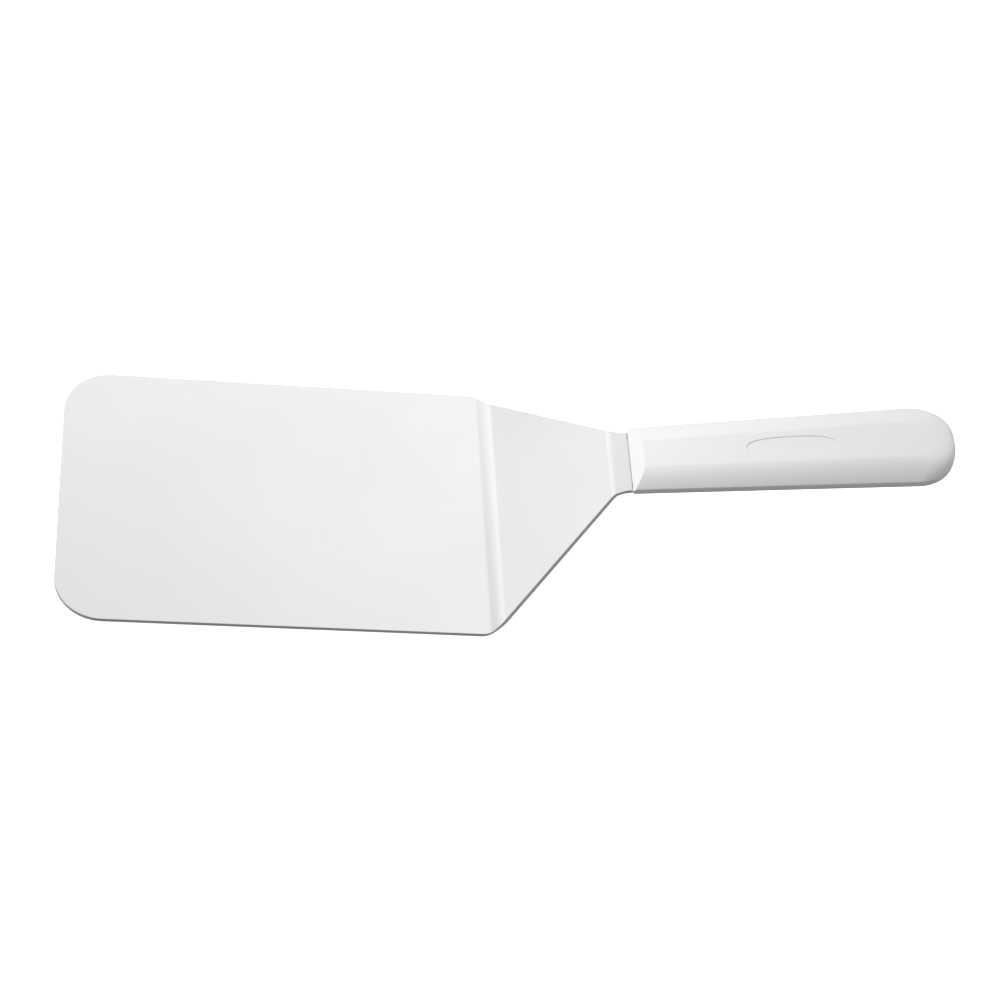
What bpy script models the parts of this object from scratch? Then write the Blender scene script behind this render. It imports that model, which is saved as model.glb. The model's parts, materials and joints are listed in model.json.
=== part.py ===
# Offset turner: a cranked stainless steel blade with a white plastic handle moulded round its tang.
# Metres, +Z up, +X from the front edge towards the handle. The flat of the blade rests on z = 0,
# and the middle of the whole tool's box is over the origin.

import math

import bmesh
import bpy
from mathutils import Matrix, Vector

# Blade: lengths run along the sheet, between the sharp corners that the folds would have. Its sides draw in
# from a little before the crank to a little past the neck's fold.
sheet_thickness = 0.0016
blade_width = 0.1016
flat_length = 0.1524
front_corner_radius = 0.0165
shoulder_length = 0.0508
shoulder_corner_radius = 0.007
taper_lead = 0.0038
taper_overrun = 0.0018
crank_angle = math.radians(44)
crank_bend_radius = 0.009
neck_width = 0.0244
neck_length = 0.0062
neck_corner_radius = 0.0105
neck_bend_radius = 0.004
neck_tilt = math.radians(10.5)

# Tang: the part of the blade that the handle hides
tang_length = 0.088
tang_root_width = 0.018
tang_tip_width = 0.013
tang_root_radius = 0.001
tang_tip_radius = 0.004
lock_hole_diameter = 0.0052
lock_hole_count = 3
first_lock_hole = 0.021
lock_hole_spacing = 0.026

# Handle: seen from above it tapers from the butt to the mouth. The radius of the butt's corners is a share of
# half its width.
handle_length = 0.1136
mouth_width = 0.0263
butt_width = 0.0325
butt_corner_share = 0.85

# Handle: its flat top and underside, which the side walls curve in to. A wall falls with the square of the
# distance from the flat. At the mouth part of the fall is a straight slope, which fades out towards the butt.
# There the wall is drawn in by a power of the share, so that the top rolls over gently and then drops.
flat_mouth_width = 0.0100
flat_butt_width = 0.0148
flat_end_inset = 0.0080
butt_roll_power = 3
wall_straight_share = 0.6
wall_steps = 10

# Handle: thickness, height of the upright band round its sides, and how far its middle lies above the sheet's
mouth_thickness = 0.0080
butt_thickness = 0.0107
side_band_height = 0.0022
handle_rise = 0.0011

# Handle: the nose is cut back above and below the upright lips round the sheet
upper_lip = 0.0019
lower_lip = 0.0006
nose_chamfer_length = 0.0046

# Handle: bare oval recess in the top. Its fullness is 2 for an ellipse, and more for a squarer oval.
recess_middle = 0.0561
recess_length = 0.0312
recess_width = 0.0078
recess_depth = 0.00025
recess_fullness = 2.6

# Gap between the blade and the handle, and how far cutters reach past what they cut
clearance = 0.0003
cutter_overrun = 0.010

# Fineness of curves
arc_step = math.radians(7.5)
fold_step = math.radians(5)
recess_sides = 56
smooth_angle = math.radians(30)
weld_distance = 0.00001

# Finishes
steel_colour = (0.62, 0.62, 0.61, 1)
steel_roughness = 0.32
plastic_colour = (0.86, 0.86, 0.84, 1)
plastic_roughness = 0.45


def corner_arc(before, corner, after, radius):
    """Points of the arc that rounds a corner between its two neighbours."""
    if not radius:
        return [corner]
    to_before = (before - corner).normalized()
    to_after = (after - corner).normalized()
    turn = math.pi - to_before.angle(to_after)
    setback = radius * math.tan(turn / 2)
    centre = corner + (to_before + to_after).normalized() * radius / math.cos(turn / 2)
    spoke = corner + to_before * setback - centre
    side = math.copysign(1, to_before.x * to_after.y - to_before.y * to_after.x)
    steps = max(1, round(turn / arc_step))
    angles = [-side * turn * step / steps for step in range(steps + 1)]
    return [centre + Matrix.Rotation(angle, 2) @ spoke for angle in angles]


def rounded_outline(corners):
    """Points of a closed outline whose corners, each an (x, y, radius), are rounded by arcs."""
    places = [Vector(corner[:2]) for corner in corners]
    points = []
    for index, corner in enumerate(corners):
        after = places[(index + 1) % len(corners)]
        points += corner_arc(places[index - 1], places[index], after, corner[2])
    return points


def mirrored_outline(side):
    """A closed outline from the corners along its -Y side."""
    return rounded_outline(side + [(x, -y, radius) for x, y, radius in reversed(side)])


def circle(x, radius):
    """Points of a circle on the X axis."""
    steps = math.ceil(2 * math.pi / arc_step)
    turns = [2 * math.pi * step / steps for step in range(steps)]
    return [Vector((x + radius * math.cos(turn), radius * math.sin(turn))) for turn in turns]


def blend(first, last, share):
    """The value at a share of the way from the first to the last."""
    return first + (last - first) * share


def collection_named(name):
    """A new collection in the scene."""
    collection = bpy.data.collections.new(name)
    bpy.context.scene.collection.children.link(collection)
    return collection


def finish(name, colour, roughness, metallic):
    """A plain material."""
    material = bpy.data.materials.new(name)
    material.use_nodes = True
    shader = material.node_tree.nodes["Principled BSDF"]
    shader.inputs["Base Color"].default_value = colour
    shader.inputs["Roughness"].default_value = roughness
    shader.inputs["Metallic"].default_value = metallic
    return material


def plate(name, outlines, thickness, collection):
    """A flat plate round z = 0 from an outer outline and the outlines of its holes."""
    curve = bpy.data.curves.new(name, "CURVE")
    curve.dimensions = "2D"
    curve.fill_mode = "BOTH"
    curve.extrude = thickness / 2
    for outline in outlines:
        spline = curve.splines.new("POLY")
        spline.points.add(len(outline) - 1)
        for knot, place in zip(spline.points, outline):
            knot.co = (place.x, place.y, 0, 1)
        spline.use_cyclic_u = True
    drawn = bpy.data.objects.new(name, curve)
    collection.objects.link(drawn)
    bpy.context.view_layer.update()
    evaluated = drawn.evaluated_get(bpy.context.evaluated_depsgraph_get())
    mesh = bpy.data.meshes.new_from_object(evaluated)
    bpy.data.objects.remove(drawn)
    bpy.data.curves.remove(curve)
    shape = bmesh.new()
    shape.from_mesh(mesh)
    bmesh.ops.remove_doubles(shape, verts=shape.verts, dist=weld_distance)
    bmesh.ops.recalc_face_normals(shape, faces=shape.faces)
    shape.to_mesh(mesh)
    shape.free()
    mesh.name = name
    solid = bpy.data.objects.new(name, mesh)
    collection.objects.link(solid)
    return solid


def shade(mesh):
    """Smooth round surfaces and crisp edges."""
    mesh.shade_smooth()
    mesh.set_sharp_from_angle(angle=smooth_angle)


# Folding of the sheet, whose runs are numbered from its front edge to the handle's mouth

flat_run, crank_run, shoulder_run, neck_fold_run, neck_run = range(5)


def sheet_runs():
    """The sheet's runs in order, each a length along it and the angle it turns up."""
    neck_turn = crank_angle - neck_tilt
    crank_setback = crank_bend_radius * math.tan(crank_angle / 2)
    neck_setback = neck_bend_radius * math.tan(neck_turn / 2)
    return [
        (flat_length - crank_setback, 0),
        (crank_bend_radius * crank_angle, crank_angle),
        (shoulder_length - crank_setback - neck_setback, 0),
        (neck_bend_radius * neck_turn, -neck_turn),
        (neck_length - neck_setback, 0),
    ]


def station_after(run):
    """Distance along the sheet from its front edge to the end of a run."""
    return sum(length for length, turn in sheet_runs()[:run + 1])


def sheet_place(station):
    """Place of the sheet's middle in x and z, and its slope, at a distance along it."""
    x = 0
    z = sheet_thickness / 2
    slope = 0
    remaining = station
    for length, turn in sheet_runs():
        travelled = min(remaining, length)
        end_slope = slope + turn * travelled / length
        if turn:
            radius = length / turn
            x += radius * (math.sin(end_slope) - math.sin(slope))
            z += radius * (math.cos(slope) - math.cos(end_slope))
        else:
            x += travelled * math.cos(slope)
            z += travelled * math.sin(slope)
        slope = end_slope
        remaining -= travelled
    return x + remaining * math.cos(slope), z + remaining * math.sin(slope), slope


def folded(flat_place):
    """Where a point of the unfolded sheet goes."""
    x, z, slope = sheet_place(flat_place.x)
    rise = flat_place.z
    return Vector((x - rise * math.sin(slope), flat_place.y, z + rise * math.cos(slope)))


def bend_stations():
    """The stations at which the unfolded sheet is divided, so that it can follow its bends."""
    stations = []
    for run, (length, turn) in enumerate(sheet_runs()):
        if turn:
            end = station_after(run)
            steps = math.ceil(abs(turn) / fold_step)
            stations += [end - length * step / steps for step in range(steps + 1)]
    return stations


def lock_hole_places():
    """Distances of the tang's holes from the handle's mouth."""
    return [first_lock_hole + lock_hole_spacing * index for index in range(lock_hole_count)]


def blade_outline():
    """Outline of the unfolded sheet, from the front edge to the tang's tip."""
    crank_station = (station_after(flat_run) + station_after(crank_run)) / 2
    neck_station = (station_after(shoulder_run) + station_after(neck_fold_run)) / 2
    mouth_station = station_after(neck_run)
    return mirrored_outline([
        (0, -blade_width / 2, front_corner_radius),
        (crank_station - taper_lead, -blade_width / 2, shoulder_corner_radius),
        (neck_station + taper_overrun, -neck_width / 2, neck_corner_radius),
        (mouth_station - clearance, -neck_width / 2, 0),
        (mouth_station - clearance, -tang_root_width / 2, tang_root_radius),
        (mouth_station + tang_length, -tang_tip_width / 2, tang_tip_radius),
    ])


def make_blade(collection):
    """The sheet, cut out flat and then folded."""
    mouth_station = station_after(neck_run)
    holes = [circle(mouth_station + place, lock_hole_diameter / 2) for place in lock_hole_places()]
    blade = plate("blade", [blade_outline()] + holes, sheet_thickness, collection)
    shape = bmesh.new()
    shape.from_mesh(blade.data)
    for station in bend_stations():
        everything = shape.verts[:] + shape.edges[:] + shape.faces[:]
        bmesh.ops.bisect_plane(
            shape, geom=everything, dist=weld_distance, plane_co=(station, 0, 0), plane_no=(1, 0, 0)
        )
    for vertex in shape.verts:
        vertex.co = folded(vertex.co)
    bmesh.ops.recalc_face_normals(shape, faces=shape.faces)
    shape.to_mesh(blade.data)
    shape.free()
    shade(blade.data)
    blade.data.materials.append(finish("stainless_steel", steel_colour, steel_roughness, 1))
    return blade


# Handle, in its own frame: x = 0 at the mouth, z = 0 in the middle of its thickness

def handle_thickness(x):
    """The handle's thickness at a distance from the mouth."""
    return blend(mouth_thickness, butt_thickness, x / handle_length)


def wall_profile():
    """The upper wall's section, each point a share of the way in, and its heights at mouth and butt."""
    points = []
    for step in range(wall_steps + 1):
        outward = 1 - step / wall_steps
        mouth_drop = blend(outward ** 2, outward, wall_straight_share)
        mouth_height = blend(mouth_thickness, side_band_height, mouth_drop) / 2
        butt_height = blend(butt_thickness, side_band_height, outward ** 2) / 2
        points.append((1 - outward, mouth_height, butt_height))
    return points


def handle_ring(inward, mouth_height, butt_height):
    """One outline of the handle's wall, at a share of the way in, and its heights at mouth and butt."""
    end = handle_length - flat_end_inset * inward ** butt_roll_power
    mouth_half = blend(mouth_width, flat_mouth_width, inward) / 2
    butt_half = blend(butt_width, flat_butt_width, inward) / 2
    end_half = blend(mouth_half, butt_half, end / handle_length)
    ring = []
    for place in mirrored_outline([(0, -mouth_half, 0), (end, -end_half, butt_corner_share * butt_half)]):
        ring.append((place.x, place.y, blend(mouth_height, butt_height, place.x / handle_length)))
    return ring


def loft(shape, rings):
    """A closed solid through level rings of equally many points, from the lowest to the highest."""
    loops = [[shape.verts.new(place) for place in ring] for ring in rings]
    count = len(loops[0])
    for lower, upper in zip(loops, loops[1:]):
        for index in range(count):
            following = (index + 1) % count
            shape.faces.new((lower[index], lower[following], upper[following], upper[index]))
    shape.faces.new(list(reversed(loops[0])))
    shape.faces.new(loops[-1])


def cut_and_close(shape, point, normal):
    """Removes what lies on the normal's side of a plane, and closes the cut with a flat face."""
    everything = shape.verts[:] + shape.edges[:] + shape.faces[:]
    bmesh.ops.bisect_plane(
        shape, geom=everything, dist=weld_distance, plane_co=point, plane_no=normal, clear_outer=True
    )
    rim = [edge for edge in shape.edges if edge.is_boundary]
    bmesh.ops.holes_fill(shape, edges=rim)


def cut_nose(shape):
    """The slanted facets above and below the mouth."""
    top = handle_thickness(nose_chamfer_length) / 2
    for side, lip in ((1, upper_lip), (-1, lower_lip)):
        start = side * (sheet_thickness / 2 + clearance + lip) - handle_rise
        rise = top - side * start
        normal = Vector((-rise, 0, side * nose_chamfer_length)).normalized()
        cut_and_close(shape, (0, 0, start), normal)


def tang_pocket(cutters):
    """What the tang takes out of the handle. The plastic in its lock holes stays."""
    outline = mirrored_outline([
        (-cutter_overrun, -tang_root_width / 2 - clearance, 0),
        (0, -tang_root_width / 2 - clearance, 0),
        (tang_length + clearance, -tang_tip_width / 2 - clearance, tang_tip_radius + clearance),
    ])
    posts = [circle(place, lock_hole_diameter / 2 - clearance) for place in lock_hole_places()]
    pocket = plate("tang_pocket_cutter", [outline] + posts, sheet_thickness + 2 * clearance, cutters)
    pocket.data.transform(Matrix.Translation((0, 0, -handle_rise)))
    return pocket


def fuller(place):
    """A place across a circle of diameter one, moved out for an oval fuller than an ellipse."""
    return math.copysign(abs(2 * place) ** (2 / recess_fullness) / 2, place)


def recess_cutter(cutters):
    """An oval block that reaches down into the flat top."""
    slope = math.atan2((butt_thickness - mouth_thickness) / 2, handle_length)
    bpy.ops.mesh.primitive_cylinder_add(vertices=recess_sides, radius=1 / 2, depth=1)
    cutter = bpy.context.active_object
    cutter.name = "recess_cutter"
    for corner in cutter.data.vertices:
        corner.co.x = fuller(corner.co.x)
        corner.co.y = fuller(corner.co.y)
    tall = recess_depth + cutter_overrun
    cutter.data.transform(Matrix.Diagonal((recess_length, recess_width, tall, 1)))
    floor = handle_thickness(recess_middle) / 2 - recess_depth
    cutter.data.transform(Matrix.Translation((0, 0, tall / 2)))
    cutter.data.transform(Matrix.Rotation(-slope, 4, "Y"))
    cutter.data.transform(Matrix.Translation((recess_middle, 0, floor)))
    for collection in list(cutter.users_collection):
        collection.objects.unlink(cutter)
    cutters.objects.link(cutter)
    return cutter


def subtract(piece, cutter):
    """Cuts a piece by a cutter that goes where the piece goes."""
    cutter.parent = piece
    cutter.hide_render = True
    cutter.display_type = "WIRE"
    modifier = piece.modifiers.new(cutter.name, "BOOLEAN")
    modifier.operation = "DIFFERENCE"
    modifier.solver = "EXACT"
    modifier.object = cutter


def make_handle(collection, cutters):
    """The moulding, set on the neck in line with the sheet."""
    mesh = bpy.data.meshes.new("handle")
    shape = bmesh.new()
    profile = wall_profile()
    upper = [handle_ring(inward, at_mouth, at_butt) for inward, at_mouth, at_butt in profile]
    lower = [handle_ring(inward, -at_mouth, -at_butt) for inward, at_mouth, at_butt in profile]
    loft(shape, lower[::-1] + upper)
    bmesh.ops.recalc_face_normals(shape, faces=shape.faces)
    cut_nose(shape)
    shape.to_mesh(mesh)
    shape.free()
    shade(mesh)
    mesh.materials.append(finish("white_polypropylene", plastic_colour, plastic_roughness, 0))
    handle = bpy.data.objects.new("handle", mesh)
    collection.objects.link(handle)
    handle.location = folded(Vector((station_after(neck_run), 0, handle_rise)))
    handle.rotation_euler = (0, -neck_tilt, 0)
    subtract(handle, tang_pocket(cutters))
    subtract(handle, recess_cutter(cutters))
    return handle


def centre_over_origin(pieces, collection):
    """Hangs the pieces on an empty, placed so that the middle of their box is over the origin."""
    holder = bpy.data.objects.new("offset_turner_origin", None)
    collection.objects.link(holder)
    bpy.context.view_layer.update()
    depsgraph = bpy.context.evaluated_depsgraph_get()
    places = []
    for piece in pieces:
        evaluated = piece.evaluated_get(depsgraph)
        places += [evaluated.matrix_world @ Vector(corner.co) for corner in evaluated.data.vertices]
    for piece in pieces:
        piece.parent = holder
    low_x = min(place.x for place in places)
    high_x = max(place.x for place in places)
    holder.location.x = -(low_x + high_x) / 2
    bpy.context.view_layer.update()


def main():
    for existing in list(bpy.data.objects):
        bpy.data.objects.remove(existing)
    collection = collection_named("offset_turner")
    cutters = collection_named("offset_turner_cutters")
    blade = make_blade(collection)
    handle = make_handle(collection, cutters)
    centre_over_origin([blade, handle], collection)


main()
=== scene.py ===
import json
import math

import bmesh
import bpy
from mathutils import Matrix, Quaternion, Vector

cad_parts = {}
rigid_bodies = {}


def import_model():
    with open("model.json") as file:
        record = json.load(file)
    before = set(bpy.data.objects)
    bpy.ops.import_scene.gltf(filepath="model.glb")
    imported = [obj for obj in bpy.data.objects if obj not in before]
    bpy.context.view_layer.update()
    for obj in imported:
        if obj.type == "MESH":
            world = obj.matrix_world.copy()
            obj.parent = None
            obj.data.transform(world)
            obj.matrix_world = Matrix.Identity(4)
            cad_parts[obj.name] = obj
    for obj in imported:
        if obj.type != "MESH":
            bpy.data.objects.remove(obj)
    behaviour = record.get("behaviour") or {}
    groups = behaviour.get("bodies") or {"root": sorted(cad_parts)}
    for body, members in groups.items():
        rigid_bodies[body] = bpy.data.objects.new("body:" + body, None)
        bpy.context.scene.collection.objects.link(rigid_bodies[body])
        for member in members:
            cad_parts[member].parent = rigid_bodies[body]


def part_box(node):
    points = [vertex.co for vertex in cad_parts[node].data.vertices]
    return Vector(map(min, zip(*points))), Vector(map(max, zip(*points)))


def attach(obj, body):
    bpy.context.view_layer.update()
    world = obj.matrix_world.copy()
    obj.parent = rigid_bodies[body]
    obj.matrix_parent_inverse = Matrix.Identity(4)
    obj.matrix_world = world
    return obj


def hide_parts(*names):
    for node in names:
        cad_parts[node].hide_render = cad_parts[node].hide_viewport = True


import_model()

bl_info = {
    "name": "Offset Turner",
    "version": (1, 0, 0),
    "blender": (4, 5, 0),
    "location": "3D View > Sidebar > Turner",
    "description": "A cranked stainless steel turner with a white moulded handle, and its stage",
    "category": "Add Mesh",
}

blade_low, blade_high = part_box("blade")
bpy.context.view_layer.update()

# Fineness of the geometry
corner_segments = 14
fold_segments = 24
wall_steps = 18
edge_segments = 3
recess_segments = 72
hole_segments = 40

# Distances that count as none, and how far a cutter reaches through or past what it cuts
hinge_tolerance = 0.000002
weld_distance = 0.000001
cutter_reach = 0.010

# How far the normal of a level face rises at least, and that of an upright face at most
level_rise = 0.99
upright_rise = 0.5

# The least turn of an edge that is rounded, and how many nose lengths from the mouth such edges lie
sheared_edge_turn = math.radians(60)
nose_edge_turn = math.radians(20)
nose_edge_reach = 1.5


def linear(code):
    """An sRGB hex colour as linear values with an alpha of one."""
    values = []
    for start in (1, 3, 5):
        share = int(code[start:start + 2], 16) / 255
        values.append(share / 12.92 if share <= 0.04045 else ((share + 0.055) / 1.055) ** 2.4)
    return (*values, 1)


def length_property(name, description, default):
    """A size in metres."""
    return bpy.props.FloatProperty(
        name=name, description=description, default=default, min=0, unit="LENGTH", precision=5
    )


def angle_property(name, description, degrees):
    """An angle, given in degrees."""
    return bpy.props.FloatProperty(
        name=name, description=description, default=math.radians(degrees), subtype="ANGLE"
    )


def share_property(name, description, default):
    """A share from nothing to all."""
    return bpy.props.FloatProperty(
        name=name, description=description, default=default, min=0, max=1, subtype="FACTOR"
    )


def colour_property(name, description, code):
    """A colour, given as sRGB hex."""
    return bpy.props.FloatVectorProperty(
        name=name, description=description, default=linear(code), size=4, min=0, max=1, subtype="COLOR"
    )


class TurnerBladeSizes(bpy.types.PropertyGroup):
    """Sizes of the sheet, measured along it between the sharp corners that its folds would have."""

    thickness: length_property("Thickness", "Thickness of the sheet", 0.0016)
    width: length_property("Width", "Width of the flat", blade_high.y - blade_low.y)
    flat_length: length_property("Flat", "Length of the flat", 0.1524)
    front_radius: length_property("Front corners", "Radius of the front corners", 0.0165)
    shoulder_length: length_property("Shoulder", "Length of the shoulder", 0.0508)
    shoulder_radius: length_property("Shoulder corners", "Radius of the corners at the crank", 0.007)
    taper_lead: length_property("Taper lead", "How far before the crank the sides start to draw in", 0.0038)
    taper_overrun: length_property("Taper overrun", "How far past the neck's fold they stop", 0.0018)
    crank_angle: angle_property("Crank", "How steeply the shoulder rises", 44)
    crank_radius: length_property("Crank radius", "Radius of the crank in the middle of the sheet", 0.009)
    neck_width: length_property("Neck width", "Width of the neck", 0.0244)
    neck_length: length_property("Neck", "Length of the neck", 0.0062)
    neck_corner_radius: length_property("Neck corners", "Radius of the corners at the neck", 0.0105)
    neck_radius: length_property("Neck bend radius", "Radius of the second bend", 0.004)
    neck_tilt: angle_property("Neck tilt", "How steeply the neck and the handle rise", 10.5)
    edge_rounding: length_property("Edge rounding", "How far the sheared edges are rounded", 0.0002)
    tang_length: length_property("Tang", "Length of the tang in the handle", 0.088)
    tang_root_width: length_property("Tang root", "Width of the tang at the mouth", 0.018)
    tang_tip_width: length_property("Tang tip", "Width of the tang at its end", 0.013)
    tang_root_radius: length_property("Tang root corners", "Radius of the tang's first corners", 0.001)
    tang_tip_radius: length_property("Tang tip corners", "Radius of the tang's last corners", 0.004)
    lock_hole_diameter: length_property("Lock holes", "Diameter of the holes in the tang", 0.0052)
    first_lock_hole: length_property("First lock hole", "Its distance from the mouth", 0.021)
    lock_hole_spacing: length_property("Hole spacing", "Distance between lock holes", 0.026)
    lock_hole_count: bpy.props.IntProperty(name="Holes", description="Number of lock holes", default=3, min=0)


class TurnerHandleSizes(bpy.types.PropertyGroup):
    """Sizes of the moulding."""

    length: length_property("Length", "From the mouth to the butt", 0.11357)
    mouth_width: length_property("Mouth width", "Width at the mouth", 0.0263)
    mouth_corner_radius: length_property("Mouth corners", "Radius of the mouth's upright corners", 0.0004)
    butt_width: length_property("Butt width", "Width at the butt", 0.0325)
    butt_corner_share: share_property("Butt corners", "Corner radius as a share of half the width", 0.85)
    flat_mouth_width: length_property("Flat at the mouth", "Width of the flat top at the mouth", 0.0100)
    flat_butt_width: length_property("Flat at the butt", "Width of the flat top at the butt", 0.0148)
    flat_end_inset: length_property("End inset", "How far the flat top stops before the butt", 0.0080)
    mouth_thickness: length_property("Mouth thickness", "Thickness at the mouth", 0.0080)
    butt_thickness: length_property("Butt thickness", "Thickness at the butt", 0.01068)
    butt_roll_power: bpy.props.IntProperty(
        name="Butt roll", description="Power by which the wall is drawn in at the butt", default=3, min=1
    )
    wall_straight_share: share_property("Straight wall", "Straight share of the fall at the mouth", 0.6)
    band_height: length_property("Side band", "Height of the upright band round the sides", 0.0022)
    rise: length_property("Rise", "How far the middle lies above the sheet's middle", 0.0011)
    upper_lip: length_property("Upper lip", "Upright lip above the sheet at the mouth", 0.0010)
    lower_lip: length_property("Lower lip", "Upright lip below the sheet at the mouth", 0.00085)
    nose_length: length_property("Nose facets", "How far the nose is cut back", 0.0046)
    nose_rounding: length_property("Nose rounding", "Rounding of the nose's edges", 0.000025)
    recess_middle: length_property("Recess place", "From the mouth to the middle of the recess", 0.0561)
    recess_length: length_property("Recess length", "Length of the bare oval recess", 0.0312)
    recess_width: length_property("Recess width", "Width of the bare oval recess", 0.0078)
    recess_depth: length_property("Recess depth", "Depth of the bare oval recess", 0.00025)
    recess_fullness: bpy.props.FloatProperty(
        name="Recess fullness", description="2 for an ellipse, and more for a squarer oval", default=2.6
    )
    recess_rim: length_property("Recess rim", "Rounding of the rim, under half of the depth", 0.0001)
    clearance: length_property("Clearance", "Gap between the sheet and the moulding", 0.00002)


class TurnerFinishes(bpy.types.PropertyGroup):
    """Colours of the materials."""

    steel: colour_property("Steel", "Colour of the satin steel", "#D4D4D4")
    # Lighter than the steel: a painted highlight along the sheared edges
    steel_edge_painted_highlight: colour_property("Sheared edge", "Colour of the steel's edges", "#E6E6E5")
    plastic: colour_property("Plastic", "Colour of the moulded handle", "#F0F0EF")
    floor: colour_property("Floor", "Colour of the floor", "#FBFBFB")


class TurnerStage(bpy.types.PropertyGroup):
    """The camera's place and the light's strength."""

    lens: bpy.props.FloatProperty(
        name="Lens", description="Focal length", default=79.2, subtype="DISTANCE_CAMERA"
    )
    distance: length_property("Distance", "From the camera to what it looks at", 0.7926)
    azimuth: angle_property("Azimuth", "Direction of the camera round the upright axis", -108.68)
    elevation: angle_property("Elevation", "Height of the camera over the horizon", 54.99)
    roll: angle_property("Roll", "Turn of the camera about its line of sight", 18.42)
    lamp_power: bpy.props.FloatProperty(
        name="Lamp", description="Power of the soft lamp", default=1.33, min=0, unit="POWER"
    )
    bright: bpy.props.FloatProperty(
        name="Bright part", description="Brightness of the studio overhead", default=3.82, min=0
    )
    dim: bpy.props.FloatProperty(
        name="Dim part", description="Brightness of the rest of the studio", default=0.394, min=0
    )


# Shapes

def add_outline(shape, corners):
    """Adds a flat face from its corners, each an (x, y, radius), and rounds each corner over the length
    that its radius needs on both sides."""
    places = [Vector((x, y, 0)) for x, y, radius in corners]
    radii = [radius for x, y, radius in corners]
    vertices = [shape.verts.new(place) for place in places]
    shape.faces.new(vertices)
    for index, radius in enumerate(radii):
        if radius:
            to_before = places[index - 1] - places[index]
            to_after = places[(index + 1) % len(places)] - places[index]
            setback = radius / math.tan(to_before.angle(to_after) / 2)
            bmesh.ops.bevel(
                shape, geom=[vertices[index]], offset=setback, offset_type="OFFSET", affect="VERTICES",
                segments=corner_segments, profile=0.5, material=-1
            )


def mirrored(side):
    """Corners of a closed outline from the corners along its -Y side."""
    return side + [(x, -y, radius) for x, y, radius in reversed(side)]


def thicken(shape, thickness):
    """Makes the flat faces a plate round z = 0."""
    raised = bmesh.ops.extrude_face_region(shape, geom=shape.faces[:])["geom"]
    vertices = [part for part in raised if isinstance(part, bmesh.types.BMVert)]
    bmesh.ops.translate(shape, verts=vertices, vec=(0, 0, thickness))
    bmesh.ops.translate(shape, verts=shape.verts, vec=(0, 0, -thickness / 2))
    bmesh.ops.recalc_face_normals(shape, faces=shape.faces)


def everything(shape):
    """All vertices, edges and faces."""
    return shape.verts[:] + shape.edges[:] + shape.faces[:]


def fold(shape, start, length, turn):
    """Folds a plate up from a place along it, over a length, about axes in the middle of the sheet."""
    step = length / fold_segments
    hinges = [start + step * (index + 0.5) for index in range(fold_segments)]
    for hinge in [start] + hinges + [start + length]:
        bmesh.ops.bisect_plane(
            shape, geom=everything(shape), dist=weld_distance, plane_co=(hinge, 0, 0), plane_no=(1, 0, 0)
        )
    for hinge in reversed(hinges):
        beyond = [vertex for vertex in shape.verts if vertex.co.x > hinge + hinge_tolerance]
        on_hinge = [vertex for vertex in shape.verts if abs(vertex.co.x - hinge) <= hinge_tolerance]
        for vertices, share in ((beyond, 1), (on_hinge, 0.5)):
            turned = Matrix.Rotation(-turn * share / fold_segments, 3, "Y")
            bmesh.ops.rotate(shape, verts=vertices, cent=(hinge, 0, 0), matrix=turned)


def piece_from(shape, name, materials):
    """An object at the origin from a finished bmesh, shaded smooth."""
    mesh = bpy.data.meshes.new(name)
    shape.to_mesh(mesh)
    shape.free()
    mesh.shade_smooth()
    for material in materials:
        mesh.materials.append(material)
    piece = bpy.data.objects.new(name, mesh)
    bpy.context.scene.collection.objects.link(piece)
    return piece


def subtract(piece, cutter):
    """Cuts the cutter out of the piece's own mesh, and removes the cutter."""
    modifier = piece.modifiers.new(cutter.name, "BOOLEAN")
    modifier.operation = "DIFFERENCE"
    modifier.solver = "EXACT"
    modifier.object = cutter
    bpy.context.view_layer.update()
    evaluated = piece.evaluated_get(bpy.context.evaluated_depsgraph_get())
    cut = bpy.data.meshes.new_from_object(evaluated)
    piece.modifiers.clear()
    uncut = piece.data
    piece.data = cut
    cut.name = piece.name
    bpy.data.meshes.remove(uncut)
    bpy.data.objects.remove(cutter)


def keep_large_faces_flat(piece):
    """Weights the shading by area, so that rounded edges don't spread their shading over flat faces."""
    modifier = piece.modifiers.new("large faces flat", "WEIGHTED_NORMAL")
    modifier.weight = 100
    modifier.keep_sharp = True


# The sheet's runs, from its front edge to the handle's mouth
flat_run, crank_run, shoulder_run, neck_fold_run, neck_run = range(5)


def sheet_runs(sizes):
    """Each run's length along the middle of the sheet and the angle it turns up."""
    neck_turn = sizes.crank_angle - sizes.neck_tilt
    crank_setback = sizes.crank_radius * math.tan(sizes.crank_angle / 2)
    neck_setback = sizes.neck_radius * math.tan(neck_turn / 2)
    return [
        (sizes.flat_length - crank_setback, 0),
        (sizes.crank_radius * sizes.crank_angle, sizes.crank_angle),
        (sizes.shoulder_length - crank_setback - neck_setback, 0),
        (sizes.neck_radius * neck_turn, -neck_turn),
        (sizes.neck_length - neck_setback, 0),
    ]


def station_after(sizes, run):
    """Distance along the sheet from its front edge to the end of a run."""
    return sum(length for length, turn in sheet_runs(sizes)[:run + 1])


def mouth_place(sizes):
    """The middle of the sheet at the mouth, in x and z from the middle of its front edge."""
    x = z = slope = 0
    for length, turn in sheet_runs(sizes):
        chord = length if not turn else 2 * length / turn * math.sin(turn / 2)
        x += chord * math.cos(slope + turn / 2)
        z += chord * math.sin(slope + turn / 2)
        slope += turn
    return x, z


def lock_holes(blade):
    """Distances of the tang's holes from the mouth."""
    return [blade.first_lock_hole + blade.lock_hole_spacing * index for index in range(blade.lock_hole_count)]


def round_cutters(places, diameter):
    """Upright round bars, each at a place along X."""
    shape = bmesh.new()
    for place in places:
        bmesh.ops.create_cone(
            shape, cap_ends=True, segments=hole_segments, radius1=diameter / 2, radius2=diameter / 2,
            depth=cutter_reach, matrix=Matrix.Translation((place, 0, 0))
        )
    return piece_from(shape, "round_cutters", [])


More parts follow.
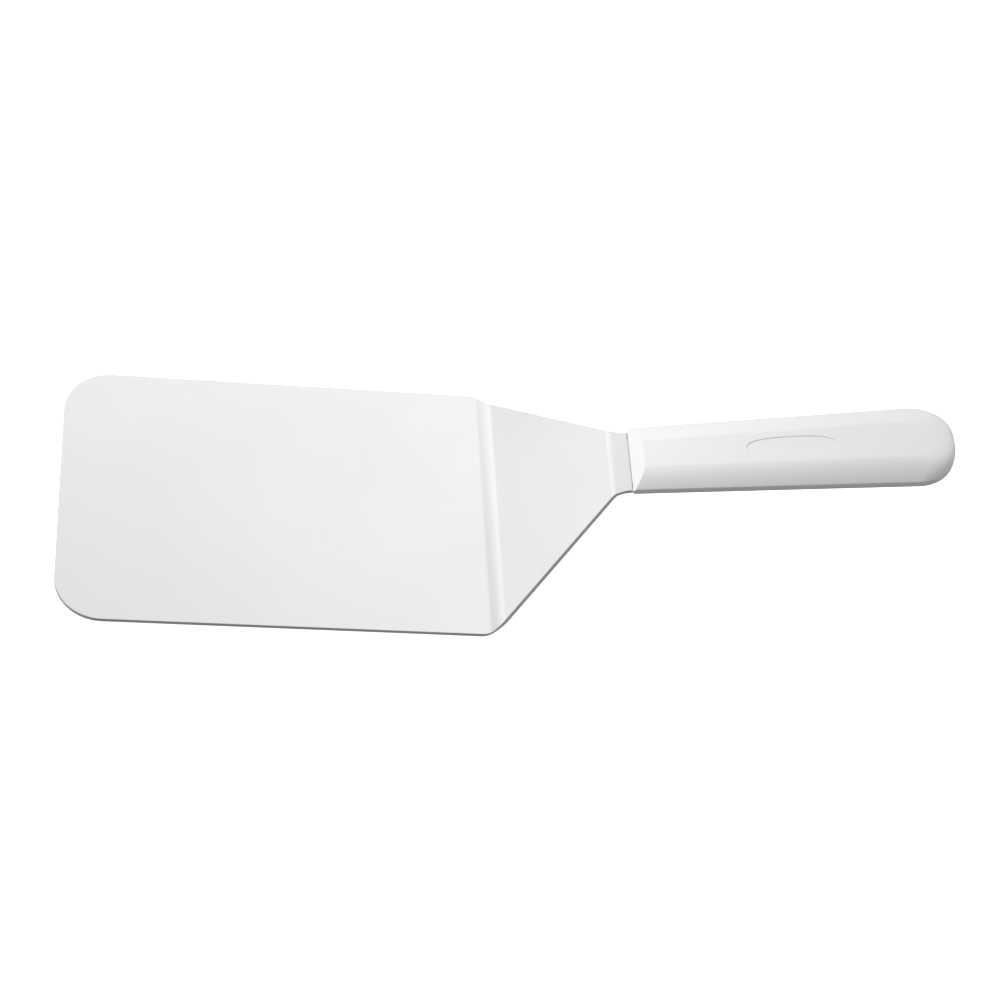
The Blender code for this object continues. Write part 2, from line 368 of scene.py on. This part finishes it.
def to_mouth(blade):
    """From the handle's own frame, with the mouth at x = 0 and the sheet's middle at z = 0, to the tool's."""
    x, z = mouth_place(blade)
    place = Matrix.Translation((blade_low.x + x, 0, blade.thickness / 2 + z))
    return place @ Matrix.Rotation(-blade.neck_tilt, 4, "Y")


def build_blade(blade, handle, materials):
    """The sheet, cut out flat, rounded along its edges and folded twice."""
    crank_station = (station_after(blade, flat_run) + station_after(blade, crank_run)) / 2
    neck_station = (station_after(blade, shoulder_run) + station_after(blade, neck_fold_run)) / 2
    mouth = station_after(blade, neck_run)
    root = mouth - handle.clearance
    shape = bmesh.new()
    add_outline(shape, mirrored([
        (0, -blade.width / 2, blade.front_radius),
        (crank_station - blade.taper_lead, -blade.width / 2, blade.shoulder_radius),
        (neck_station + blade.taper_overrun, -blade.neck_width / 2, blade.neck_corner_radius),
        (root, -blade.neck_width / 2, 0),
        (root, -blade.tang_root_width / 2, blade.tang_root_radius),
        (mouth + blade.tang_length, -blade.tang_tip_width / 2, blade.tang_tip_radius),
    ]))
    thicken(shape, blade.thickness)
    for face in shape.faces:
        # The upright edge faces take the edge material, whose lighter colour paints a highlight along them
        face.material_index = 1 if abs(face.normal.z) < upright_rise else 0
    sharp = [edge for edge in shape.edges if edge.calc_face_angle(0) > sheared_edge_turn]
    rims = [edge for edge in sharp if abs(edge.verts[0].co.z - edge.verts[1].co.z) < weld_distance]
    bmesh.ops.bevel(
        shape, geom=rims, offset=blade.edge_rounding, offset_type="OFFSET", affect="EDGES",
        segments=edge_segments, profile=0.5, material=-1
    )
    fold(shape, station_after(blade, shoulder_run), *sheet_runs(blade)[neck_fold_run])
    fold(shape, station_after(blade, flat_run), *sheet_runs(blade)[crank_run])
    bmesh.ops.translate(shape, verts=shape.verts, vec=(blade_low.x, 0, blade.thickness / 2))
    piece = piece_from(shape, "turner_blade", materials)
    cutters = round_cutters(lock_holes(blade), blade.lock_hole_diameter)
    cutters.data.transform(to_mouth(blade))
    subtract(piece, cutters)
    keep_large_faces_flat(piece)
    return piece


def add_ring(shape, sizes, inward, mouth_height, butt_height):
    """Adds one outline of the handle's wall, a share of the way in and at its heights at mouth and butt, and
    gives its edges."""
    known = set(shape.verts)
    end = sizes.length - sizes.flat_end_inset * inward ** sizes.butt_roll_power
    mouth_half = (sizes.mouth_width + (sizes.flat_mouth_width - sizes.mouth_width) * inward) / 2
    butt_half = (sizes.butt_width + (sizes.flat_butt_width - sizes.butt_width) * inward) / 2
    end_half = mouth_half + (butt_half - mouth_half) * end / sizes.length
    corners = [
        (0, -mouth_half, sizes.mouth_corner_radius),
        (end, -end_half, sizes.butt_corner_share * butt_half),
    ]
    add_outline(shape, mirrored(corners))
    vertices = [vertex for vertex in shape.verts if vertex not in known]
    bmesh.ops.delete(shape, geom=shape.faces[:], context="FACES_ONLY")
    edges = list({edge for vertex in vertices for edge in vertex.link_edges})
    raise_ring(shape, sizes, vertices, mouth_height, butt_height)
    return edges


def raise_ring(shape, sizes, vertices, mouth_height, butt_height):
    """Lifts flat vertices to a height that goes from one at the mouth to another at the butt."""
    lift = Matrix.Translation((0, 0, mouth_height))
    slope = Matrix.Identity(4)
    slope[2][0] = (butt_height - mouth_height) / sizes.length
    bmesh.ops.transform(shape, matrix=lift @ slope, verts=vertices)


def add_recess_ring(shape, sizes, inset, depth):
    """Adds one oval of the recess, drawn in by an inset and below the flat top by a depth, and gives its
    edges."""
    power = 2 / sizes.recess_fullness
    radii = (sizes.recess_length / 2 - inset, sizes.recess_width / 2 - inset, 1, 1)
    place = Matrix.Translation((sizes.recess_middle, 0, 0)) @ Matrix.Diagonal(radii)
    ring = bmesh.ops.create_circle(shape, segments=recess_segments, radius=1)["verts"]
    for vertex in ring:
        vertex.co.x = math.copysign(abs(vertex.co.x) ** power, vertex.co.x)
        vertex.co.y = math.copysign(abs(vertex.co.y) ** power, vertex.co.y)
    bmesh.ops.transform(shape, matrix=place, verts=ring)
    edges = list({edge for vertex in ring for edge in vertex.link_edges})
    raise_ring(shape, sizes, ring, sizes.mouth_thickness / 2 - depth, sizes.butt_thickness / 2 - depth)
    return edges


def recess_rings(shape, sizes):
    """The rounded rim and the rounded floor edge of the recess, from the outside in. The wall is between."""
    radius = sizes.recess_rim
    angles = [math.pi / 2 * step / edge_segments for step in range(edge_segments + 1)]
    rim = [(radius * math.sin(angle) - radius, radius * (1 - math.cos(angle))) for angle in angles]
    floor_edge = [
        (radius * (1 - math.cos(angle)), sizes.recess_depth - radius + radius * math.sin(angle))
        for angle in angles
    ]
    return [add_recess_ring(shape, sizes, inset, depth) for inset, depth in rim + floor_edge]


def bridge(shape, rings):
    """Joins each ring to the next."""
    for outer, inner in zip(rings, rings[1:]):
        bmesh.ops.bridge_loops(shape, edges=outer + inner)


def sink_recess(shape, sizes):
    """Opens the flat top round the recess and closes the recess's wall and floor."""
    level = [face for face in shape.faces if face.normal.z > level_rise]
    top = max(level, key=lambda face: face.calc_area())
    outline = top.edges[:]
    bmesh.ops.delete(shape, geom=[top], context="FACES_ONLY")
    rings = recess_rings(shape, sizes)
    bmesh.ops.triangle_fill(shape, use_beauty=True, edges=outline + rings[0], normal=(0, 0, 1))
    bridge(shape, rings)
    bmesh.ops.edgeloop_fill(shape, edges=rings[-1])


def wall_profile(sizes):
    """The upper wall's section, each point a share of the way in, and its heights at mouth and butt."""
    points = []
    for step in range(wall_steps + 1):
        outward = 1 - step / wall_steps
        fall = outward ** 2
        mouth_fall = fall + (outward - fall) * sizes.wall_straight_share
        at_mouth = (sizes.mouth_thickness + (sizes.band_height - sizes.mouth_thickness) * mouth_fall) / 2
        at_butt = (sizes.butt_thickness + (sizes.band_height - sizes.butt_thickness) * fall) / 2
        points.append((1 - outward, at_mouth, at_butt))
    return points


def cut_nose(shape, blade, handle):
    """Cuts the slanted facets above and below the mouth."""
    growth = (handle.butt_thickness - handle.mouth_thickness) * handle.nose_length / handle.length
    top = (handle.mouth_thickness + growth) / 2
    for side, lip in ((1, handle.upper_lip), (-1, handle.lower_lip)):
        start = side * (blade.thickness / 2 + handle.clearance + lip) - handle.rise
        normal = Vector((side * start - top, 0, side * handle.nose_length)).normalized()
        bmesh.ops.bisect_plane(
            shape, geom=everything(shape), dist=weld_distance, plane_co=(0, 0, start), plane_no=normal,
            clear_outer=True
        )
        bmesh.ops.holes_fill(shape, edges=[edge for edge in shape.edges if edge.is_boundary])


def round_nose(shape, sizes):
    """Makes the mouth one face, and rounds its edges and those of the nose's facets."""
    mouth = [face for face in shape.faces if max(vertex.co.x for vertex in face.verts) < hinge_tolerance]
    bmesh.ops.dissolve_faces(shape, faces=mouth)
    reach = sizes.nose_length * nose_edge_reach
    near = [edge for edge in shape.edges if max(vertex.co.x for vertex in edge.verts) < reach]
    sharp = [edge for edge in near if edge.calc_face_angle(0) > nose_edge_turn]
    bmesh.ops.bevel(
        shape, geom=sharp, offset=sizes.nose_rounding, offset_type="OFFSET", affect="EDGES",
        segments=edge_segments, profile=0.5, material=-1
    )


def pocket_cutter(blade, handle):
    """What the tang takes out of the moulding. The plastic in its lock holes stays."""
    root_half = blade.tang_root_width / 2 + handle.clearance
    tip_half = blade.tang_tip_width / 2 + handle.clearance
    shape = bmesh.new()
    add_outline(shape, mirrored([
        (-cutter_reach, -root_half, 0),
        (0, -root_half, 0),
        (blade.tang_length + handle.clearance, -tip_half, blade.tang_tip_radius + handle.clearance),
    ]))
    thicken(shape, blade.thickness + 2 * handle.clearance)
    pocket = piece_from(shape, "pocket_cutter", [])
    subtract(pocket, round_cutters(lock_holes(blade), blade.lock_hole_diameter - 2 * handle.clearance))
    return pocket


def build_handle(blade, handle, materials):
    """The moulding: a wall of level rings, a bare recess in its top, and a nose cut back round the sheet."""
    shape = bmesh.new()
    profile = wall_profile(handle)
    lower = [(inward, -at_mouth, -at_butt) for inward, at_mouth, at_butt in reversed(profile)]
    rings = [add_ring(shape, handle, *level) for level in lower + profile]
    bridge(shape, rings)
    for rim in (rings[0], rings[-1]):
        bmesh.ops.edgeloop_fill(shape, edges=rim)
    bmesh.ops.recalc_face_normals(shape, faces=shape.faces)
    cut_nose(shape, blade, handle)
    round_nose(shape, handle)
    sink_recess(shape, handle)
    bmesh.ops.recalc_face_normals(shape, faces=shape.faces)
    bmesh.ops.translate(shape, verts=shape.verts, vec=(0, 0, handle.rise))
    piece = piece_from(shape, "turner_handle", materials)
    subtract(piece, pocket_cutter(blade, handle))
    piece.data.transform(to_mouth(blade))
    keep_large_faces_flat(piece)
    return piece


# Materials

def add_node(tree, kind, inputs=None, **settings):
    """Adds a node with its settings. An input that is given a socket is linked to it."""
    added = tree.nodes.new(kind)
    for name, value in settings.items():
        setattr(added, name, value)
    for name, value in (inputs or {}).items():
        if isinstance(value, bpy.types.NodeSocket):
            tree.links.new(value, added.inputs[name])
        else:
            added.inputs[name].default_value = value
    return added


def new_material(name):
    """An empty node material and its output."""
    material = bpy.data.materials.new(name)
    material.use_nodes = True
    material.node_tree.nodes.clear()
    return material, material.node_tree, add_node(material.node_tree, "ShaderNodeOutputMaterial")


def satin_stainless_steel(colour):
    """Cold-rolled stainless sheet with a fine satin finish: soft, wide reflections with a faint grain."""
    material, tree, output = new_material("satin_stainless_steel")
    place = add_node(tree, "ShaderNodeTexCoord").outputs["Object"]
    # The real grain is about 0.05 mm wide, too fine to show, so it is drawn 0.4 mm wide and 25 mm long
    stretched = add_node(tree, "ShaderNodeMapping", {"Vector": place, "Scale": (2500, 40, 2500)})
    grain = add_node(
        tree, "ShaderNodeTexNoise", {"Vector": stretched.outputs["Vector"], "Scale": 1, "Detail": 3}
    )
    # Slow changes of the finish over about 50 mm, from handling and cleaning
    patches = add_node(tree, "ShaderNodeTexNoise", {"Vector": place, "Scale": 20, "Detail": 2})
    mixed = add_node(
        tree, "ShaderNodeMath", {0: grain.outputs["Fac"], 1: patches.outputs["Fac"]}, operation="ADD"
    )
    roughness = add_node(
        tree, "ShaderNodeMapRange",
        {"Value": mixed.outputs[0], "From Min": 0.6, "From Max": 1.4, "To Min": 0.27, "To Max": 0.33}
    )
    bump = add_node(
        tree, "ShaderNodeBump", {"Height": grain.outputs["Fac"], "Strength": 0.15, "Distance": 0.00001}
    )
    shader = add_node(tree, "ShaderNodeBsdfPrincipled", {
        "Base Color": colour,
        "Metallic": 1,
        "Roughness": roughness.outputs["Result"],
        "Normal": bump.outputs["Normal"],
    })
    tree.links.new(shader.outputs["BSDF"], output.inputs["Surface"])
    return material


def sheared_edge_painted_highlight(colour):
    """The sheet's cut and deburred edge: metal rougher than its faces, with fine marks, in a colour lighter
    than the faces' that is a painted highlight along the edges.
    """
    material, tree, output = new_material("sheared_edge_painted_highlight")
    place = add_node(tree, "ShaderNodeTexCoord").outputs["Object"]
    # Marks of shearing and deburring, about 0.3 mm apart
    marks = add_node(tree, "ShaderNodeTexNoise", {"Vector": place, "Scale": 3000, "Detail": 2})
    bump = add_node(
        tree, "ShaderNodeBump", {"Height": marks.outputs["Fac"], "Strength": 0.3, "Distance": 0.00002}
    )
    shader = add_node(tree, "ShaderNodeBsdfPrincipled", {
        # Lighter than the faces' colour: a painted highlight on the edges
        "Base Color": colour,
        "Metallic": 1,
        "Roughness": 0.45,
        "Normal": bump.outputs["Normal"],
    })
    tree.links.new(shader.outputs["BSDF"], output.inputs["Surface"])
    return material


def moulded_white_polypropylene(colour):
    """Injection-moulded polypropylene: white, slightly translucent, with a fine spark-eroded texture."""
    material, tree, output = new_material("moulded_white_polypropylene")
    place = add_node(tree, "ShaderNodeTexCoord").outputs["Object"]
    # The mould's texture is about 0.1 mm, drawn 0.35 mm wide so that it shows
    texture = add_node(tree, "ShaderNodeTexNoise", {"Vector": place, "Scale": 2800, "Detail": 2})
    # Slow changes of gloss over about 20 mm, as the mould leaves them
    patches = add_node(tree, "ShaderNodeTexNoise", {"Vector": place, "Scale": 45, "Detail": 2})
    roughness = add_node(
        tree, "ShaderNodeMapRange",
        {"Value": patches.outputs["Fac"], "From Min": 0.3, "From Max": 0.7, "To Min": 0.42, "To Max": 0.5}
    )
    bump = add_node(
        tree, "ShaderNodeBump", {"Height": texture.outputs["Fac"], "Strength": 0.12, "Distance": 0.00003}
    )
    shader = add_node(tree, "ShaderNodeBsdfPrincipled", {
        "Base Color": colour,
        "Metallic": 0,
        "Roughness": roughness.outputs["Result"],
        "IOR": 1.49,
        "Subsurface Weight": 0.15,
        "Subsurface Radius": (1, 1, 1),
        "Subsurface Scale": 0.001,
        "Normal": bump.outputs["Normal"],
    })
    tree.links.new(shader.outputs["BSDF"], output.inputs["Surface"])
    return material


def matt_floor(colour):
    """A matt white studio sheet, which glows so that it stays white."""
    material, tree, output = new_material("matt_floor")
    shader = add_node(tree, "ShaderNodeBsdfPrincipled", {
        "Base Color": colour,
        "Roughness": 0.9,
        "Emission Color": colour,
        "Emission Strength": 0.9,
    })
    tree.links.new(shader.outputs["BSDF"], output.inputs["Surface"])
    return material


# Stage

# Where each part of the studio has its middle, the cosines between which it fades, and its strength there.
# The glow's strength is on the panel. The gap is an arch across the blade, tilted off the upright.
glow_middle, glow_fade = (-0.371, -0.101, 0.923), (0.041, 1)
shade_middle, shade_fade, shade_strength = (-0.337, -0.369, 0.866), (0, 1), 0.03
card_middle, card_fade, card_strength = (0, -0.92, -0.39), (0.3, 1), 0.5
gap_tilt, gap_fade, gap_strength = math.radians(2.63), (0.03, 0.22), 0.856

lamp_place = (-0.288, 0.124, 0.28)
lamp_width = 0.30
floor_reach = 3

# What the camera looks at, from the blade's front edge, and the nearest that it sees
aim_along, aim_across, aim_height = 0.15574, 0.00522, 0.0016
nearest_seen = 0.01


def light_studio(stage):
    """A studio dome: bright overhead and dark near the camera, with a dim gap between two softboxes and a
    grey card low in front, which darkens the near edges."""
    world = bpy.data.worlds.new("studio")
    world.use_nodes = True
    bpy.context.scene.world = world
    tree = world.node_tree
    tree.nodes.clear()
    direction = add_node(tree, "ShaderNodeTexCoord").outputs["Generated"]

    def towards(place):
        middle = Vector(place).normalized()
        return add_node(
            tree, "ShaderNodeVectorMath", {0: direction, 1: middle}, operation="DOT_PRODUCT"
        ).outputs["Value"]

    def smooth_step(value, low, high, at_low, at_high):
        limits = {"Value": value, "From Min": low, "From Max": high, "To Min": at_low, "To Max": at_high}
        return add_node(tree, "ShaderNodeMapRange", limits, interpolation_type="SMOOTHSTEP").outputs["Result"]

    def product(first, second):
        return add_node(tree, "ShaderNodeMath", {0: first, 1: second}, operation="MULTIPLY").outputs[0]

    glow = smooth_step(towards(glow_middle), *glow_fade, stage.dim, stage.bright)
    shade = smooth_step(towards(shade_middle), *shade_fade, 1, shade_strength)
    across_gap = towards((math.cos(gap_tilt), 0, math.sin(gap_tilt)))
    off_gap = add_node(tree, "ShaderNodeMath", {0: across_gap}, operation="ABSOLUTE").outputs[0]
    gap = smooth_step(off_gap, *gap_fade, gap_strength, 1)
    card = smooth_step(towards(card_middle), *card_fade, 1, card_strength)
    strength = product(product(glow, shade), product(gap, card))
    background = add_node(tree, "ShaderNodeBackground", {"Color": linear("#FFFFFF"), "Strength": strength})
    output = add_node(tree, "ShaderNodeOutputWorld")
    tree.links.new(background.outputs["Background"], output.inputs["Surface"])


def hang_lamp(stage):
    """A soft square lamp above the blade, which the steel doesn't mirror."""
    lamp = bpy.data.lights.new("soft_lamp", "AREA")
    lamp.size = lamp_width
    lamp.energy = stage.lamp_power
    hung = bpy.data.objects.new("soft_lamp", lamp)
    hung.location = lamp_place
    hung.visible_camera = False
    hung.visible_glossy = False
    bpy.context.scene.collection.objects.link(hung)


def lay_floor(material):
    """A wide level floor under the blade's flat, which only the camera sees."""
    shape = bmesh.new()
    bmesh.ops.create_grid(shape, x_segments=2, y_segments=2, size=floor_reach)
    floor = piece_from(shape, "studio_floor", [material])
    floor.visible_diffuse = False
    floor.visible_glossy = False


def place_camera(stage):
    """The camera at the photograph's angle."""
    target = Vector((blade_low.x + aim_along, aim_across, aim_height))
    turn = Matrix.Rotation(stage.azimuth, 3, "Z") @ Matrix.Rotation(-stage.elevation, 3, "Y")
    towards = turn @ Vector((1, 0, 0))
    lens = bpy.data.cameras.new("camera")
    lens.lens = stage.lens
    lens.clip_start = nearest_seen
    camera = bpy.data.objects.new("camera", lens)
    camera.location = target + towards * stage.distance
    camera.rotation_mode = "QUATERNION"
    camera.rotation_quaternion = towards.to_track_quat("Z", "Y") @ Quaternion((0, 0, 1), stage.roll)
    bpy.context.scene.collection.objects.link(camera)
    bpy.context.scene.camera = camera


class TURNER_OT_blade(bpy.types.Operator):
    """Build the folded steel blade with its hidden tang"""

    bl_idname = "turner.blade"
    bl_label = "Blade"
    bl_options = {"REGISTER", "UNDO"}

    def execute(self, context):
        scene = context.scene
        finishes = scene.turner_finishes
        # The edge material's lighter colour is a painted highlight along the sheet's edges
        materials = [satin_stainless_steel(finishes.steel), sheared_edge_painted_highlight(finishes.steel_edge_painted_highlight)]
        piece = build_blade(scene.turner_blade, scene.turner_handle, materials)
        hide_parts("blade")
        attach(piece, "root")
        return {"FINISHED"}


class TURNER_OT_handle(bpy.types.Operator):
    """Build the moulded handle round the tang"""

    bl_idname = "turner.handle"
    bl_label = "Handle"
    bl_options = {"REGISTER", "UNDO"}

    def execute(self, context):
        scene = context.scene
        materials = [moulded_white_polypropylene(scene.turner_finishes.plastic)]
        piece = build_handle(scene.turner_blade, scene.turner_handle, materials)
        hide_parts("handle")
        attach(piece, "root")
        return {"FINISHED"}


class TURNER_OT_stage(bpy.types.Operator):
    """Lay the floor, light the studio and place the camera"""

    bl_idname = "turner.stage"
    bl_label = "Stage"
    bl_options = {"REGISTER", "UNDO"}

    def execute(self, context):
        scene = context.scene
        lay_floor(matt_floor(scene.turner_finishes.floor))
        light_studio(scene.turner_stage)
        hang_lamp(scene.turner_stage)
        place_camera(scene.turner_stage)
        scene.view_settings.view_transform = "Standard"
        return {"FINISHED"}


class TURNER_PT_panel(bpy.types.Panel):
    """The turner's pieces, sizes and finishes"""

    bl_idname = "TURNER_PT_panel"
    bl_label = "Offset Turner"
    bl_space_type = "VIEW_3D"
    bl_region_type = "UI"
    bl_category = "Turner"

    def draw(self, context):
        layout = self.layout
        for operator in (TURNER_OT_blade, TURNER_OT_handle, TURNER_OT_stage):
            layout.operator(operator.bl_idname)
        for name, group in groups.items():
            box = layout.box()
            for size in group.__annotations__:
                box.prop(getattr(context.scene, name), size)


groups = {
    "turner_blade": TurnerBladeSizes,
    "turner_handle": TurnerHandleSizes,
    "turner_finishes": TurnerFinishes,
    "turner_stage": TurnerStage,
}
classes = (*groups.values(), TURNER_OT_blade, TURNER_OT_handle, TURNER_OT_stage, TURNER_PT_panel)


def register():
    for each in classes:
        bpy.utils.register_class(each)
    for name, group in groups.items():
        setattr(bpy.types.Scene, name, bpy.props.PointerProperty(type=group))


def unregister():
    for name in groups:
        delattr(bpy.types.Scene, name)
    for each in reversed(classes):
        bpy.utils.unregister_class(each)


def main():
    """Builds the turner and its stage."""
    # The camera and lamps of the scene that Blender starts with
    for existing in list(bpy.data.objects):
        if existing.type in ("CAMERA", "LIGHT"):
            bpy.data.objects.remove(existing)
    register()
    bpy.ops.turner.blade()
    bpy.ops.turner.handle()
    bpy.ops.turner.stage()


if __name__ == "__main__":
    main()
